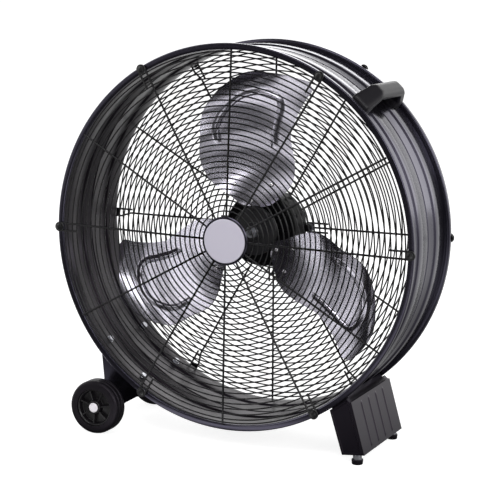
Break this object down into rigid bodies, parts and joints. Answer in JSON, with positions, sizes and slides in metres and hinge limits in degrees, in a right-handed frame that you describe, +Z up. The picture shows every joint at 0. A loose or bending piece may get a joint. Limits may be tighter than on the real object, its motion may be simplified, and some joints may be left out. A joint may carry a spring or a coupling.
{
  "type": "drum fan",
  "caption": "Floor-standing drum fan: a short rolled drum with wire guards, wide sheet blades, a bridging handle, transport wheels on a bracket and a control box on rubber feet.",
  "frame": {"origin": "centre of the bounding box's bottom, on the floor that the wheels and feet stand on, midway between the rims", "axes": "+Z up, -Y out of the front guard towards the viewer, +X towards the control box; the drum's axis runs along Y"},
  "size_m": [0.6665, 0.254, 0.691],
  "materials": {
    "drum_paint": "semi-gloss black powder coat on rolled steel sheet",
    "guard_coating": "gloss black powder coat on welded steel wire",
    "badge_metal": "satin silver disc, plain",
    "fasteners": "zinc-plated steel",
    "motor_paint": "satin black paint on cast and pressed metal",
    "core_steel": "bare laminated steel",
    "shaft_steel": "turned steel",
    "hub_steel": "dark grey painted pressed steel",
    "blade_aluminium": "mill-finish rolled aluminium sheet",
    "wheel_rubber": "moulded black rubber tread",
    "wheel_plastic": "moulded black plastic",
    "cap_plastic": "white moulded plastic",
    "box_plastic": "fine-textured dark grey moulded plastic",
    "knob_plastic": "moulded black plastic",
    "foot_rubber": "black rubber",
    "handle_plastic": "fine-textured dark grey moulded plastic"
  },
  "bodies": {
    "housing": {"drum_shell": "drum_paint", "front_guard": "guard_coating", "rear_guard": "guard_coating", "guard_centre_plate": "drum_paint", "front_badge": "badge_metal", "front_guard_screw_1": "fasteners", "front_guard_screw_2": "fasteners", "front_guard_screw_3": "fasteners", "front_guard_screw_4": "fasteners", "front_guard_screw_5": "fasteners", "front_guard_screw_6": "fasteners", "rear_guard_screw_1": "fasteners", "rear_guard_screw_2": "fasteners", "rear_guard_screw_3": "fasteners", "rear_guard_screw_4": "fasteners", "rear_guard_screw_5": "fasteners", "rear_guard_screw_6": "fasteners", "motor_shell": "motor_paint", "motor_front_shield": "motor_paint", "motor_rear_shield": "motor_paint", "stator_core": "core_steel", "front_bearing": "shaft_steel", "rear_bearing": "shaft_steel", "motor_mount_screw_1": "fasteners", "motor_mount_screw_2": "fasteners", "motor_mount_screw_3": "fasteners", "motor_mount_screw_4": "fasteners", "wheel_bracket": "drum_paint", "bracket_bolt_1": "fasteners", "bracket_bolt_2": "fasteners", "bracket_bolt_3": "fasteners", "bracket_bolt_4": "fasteners", "wheel_axle": "shaft_steel", "front_axle_cap": "cap_plastic", "rear_axle_cap": "cap_plastic", "control_box_housing": "box_plastic", "control_box_cover": "box_plastic", "speed_switch": "wheel_plastic", "run_capacitor": "cap_plastic", "cable_gland": "wheel_plastic", "foot_stud_front": "fasteners", "foot_stud_rear": "fasteners", "rubber_foot_front": "foot_rubber", "rubber_foot_rear": "foot_rubber", "carry_handle": "handle_plastic", "handle_screw_front": "fasteners", "handle_screw_rear": "fasteners"},
    "impeller": {"motor_shaft": "shaft_steel", "rotor_core": "core_steel", "blade_hub": "hub_steel", "blade_1": "blade_aluminium", "blade_2": "blade_aluminium", "blade_3": "blade_aluminium", "hub_nut": "fasteners"},
    "front_wheel": {"front_wheel_tyre": "wheel_rubber", "front_wheel_hub": "wheel_plastic"},
    "rear_wheel": {"rear_wheel_tyre": "wheel_rubber", "rear_wheel_hub": "wheel_plastic"},
    "knob": {"speed_knob": "knob_plastic"}
  },
  "joints": [
    {"name": "impeller_spin", "type": "hinge", "parent": "housing", "child": "impeller", "pos_m": [0, 0, 0.361], "axis": [0, 1, 0], "continuous": true},
    {"name": "front_wheel_spin", "type": "hinge", "parent": "housing", "child": "front_wheel", "pos_m": [-0.245, -0.1095, 0.0475], "axis": [0, 1, 0], "continuous": true},
    {"name": "rear_wheel_spin", "type": "hinge", "parent": "housing", "child": "rear_wheel", "pos_m": [-0.245, 0.1095, 0.0475], "axis": [0, 1, 0], "continuous": true},
    {"name": "speed_knob_turn", "type": "hinge", "parent": "housing", "child": "knob", "pos_m": [0.217, 0.1, 0.066], "axis": [0, 1, 0], "range_deg": [0, 270]}
  ]
}
